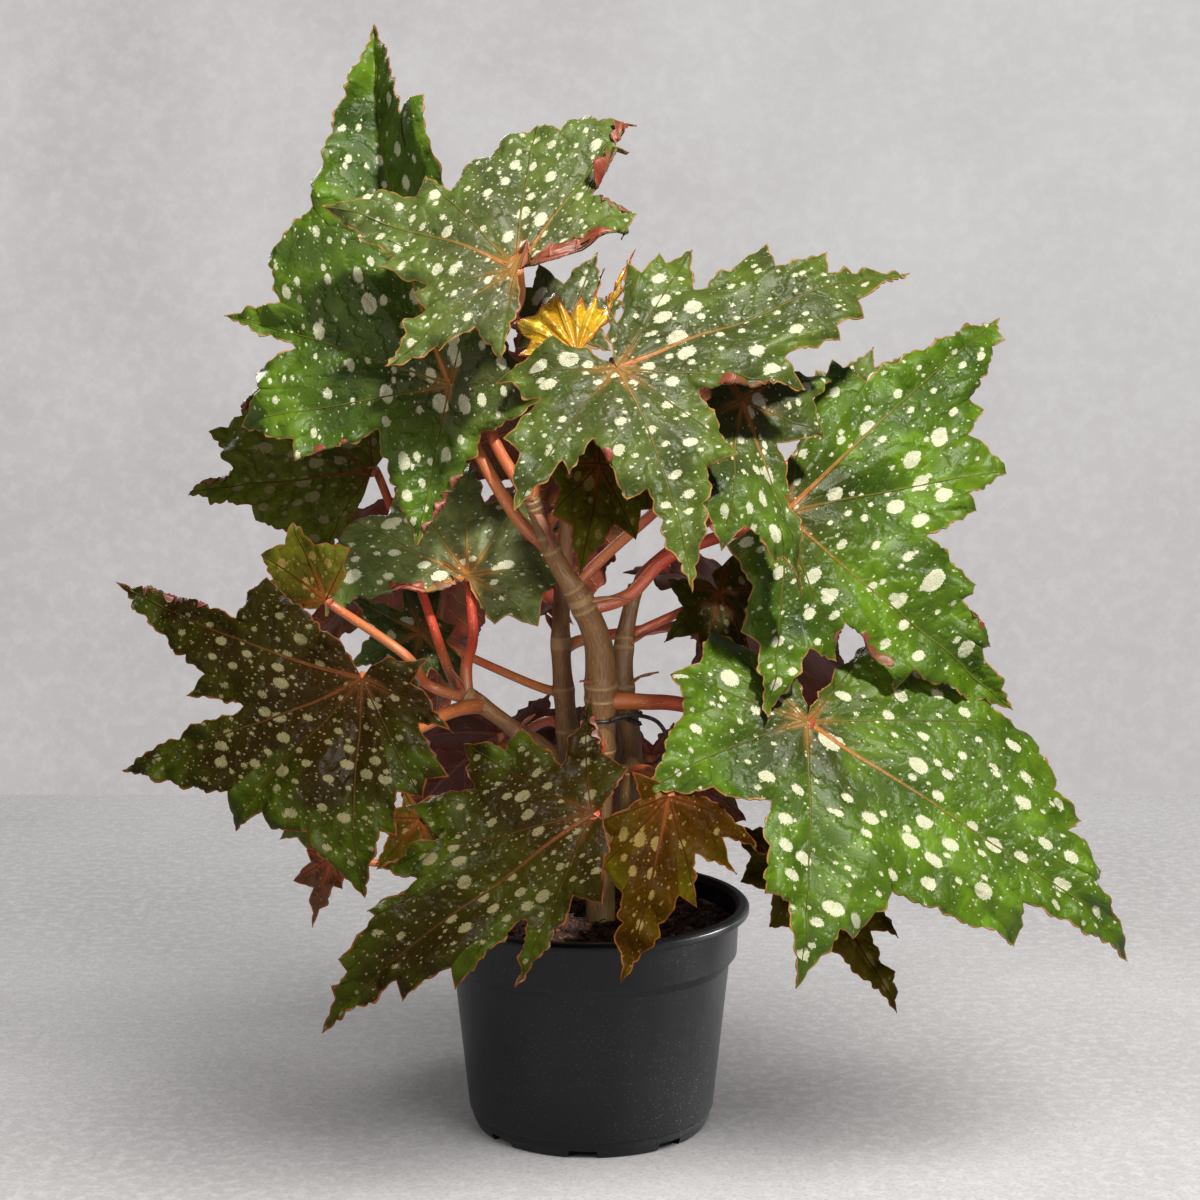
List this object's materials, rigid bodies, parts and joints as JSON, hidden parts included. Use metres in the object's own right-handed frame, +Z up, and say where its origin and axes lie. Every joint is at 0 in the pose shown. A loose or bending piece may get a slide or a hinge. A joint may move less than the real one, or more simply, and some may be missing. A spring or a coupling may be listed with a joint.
{
  "type": "potted begonia",
  "caption": "Potted begonia with angel-wing leaves, white spots and serrated edges, on canes in a round black nursery pot.",
  "frame": {"origin": "middle of the pot's foot, on the ground", "axes": "+Z is up the plant; +X is to the right as seen from its best side, which faces -Y"},
  "size_m": [0.5298, 0.3319, 0.589],
  "materials": {
    "pot": "satin",
    "soil": "matte",
    "tie_wire": "matte",
    "cane_brown": "satin",
    "cane_green": "satin",
    "leaf_green": "satin",
    "leaf_dark": "satin",
    "leaf_olive": "satin",
    "leaf_golden": "satin",
    "leaf_red": "satin"
  },
  "bodies": {
    "root": {"cane_back": "cane_green", "cane_left": "cane_green", "cane_main": "cane_brown", "cane_right": "cane_brown", "leaf_back_left_mid": "leaf_green", "leaf_back_right": "leaf_green", "leaf_back_top": "leaf_green", "leaf_centre_right": "leaf_green", "leaf_golden": "leaf_golden", "leaf_left": "leaf_dark", "leaf_left_small": "leaf_olive", "leaf_left_upper": "leaf_dark", "leaf_low_centre": "leaf_dark", "leaf_low_left_back": "leaf_green", "leaf_low_left_small": "leaf_red", "leaf_low_right": "leaf_olive", "leaf_low_right_back": "leaf_olive", "leaf_lower_right": "leaf_green", "leaf_mid_dark": "leaf_dark", "leaf_mid_left": "leaf_green", "leaf_mid_low_left": "leaf_olive", "leaf_rear_left": "leaf_green", "leaf_rear_low_left": "leaf_dark", "leaf_rear_low_right": "leaf_olive", "leaf_rear_right": "leaf_dark", "leaf_rear_upper": "leaf_green", "leaf_right": "leaf_green", "leaf_top_centre": "leaf_green", "leaf_top_left": "leaf_green", "leaf_under_centre": "leaf_green", "leaf_under_olive": "leaf_olive", "pot": "pot", "soil": "soil", "tie_wire": "tie_wire"}
  },
  "joints": []
}
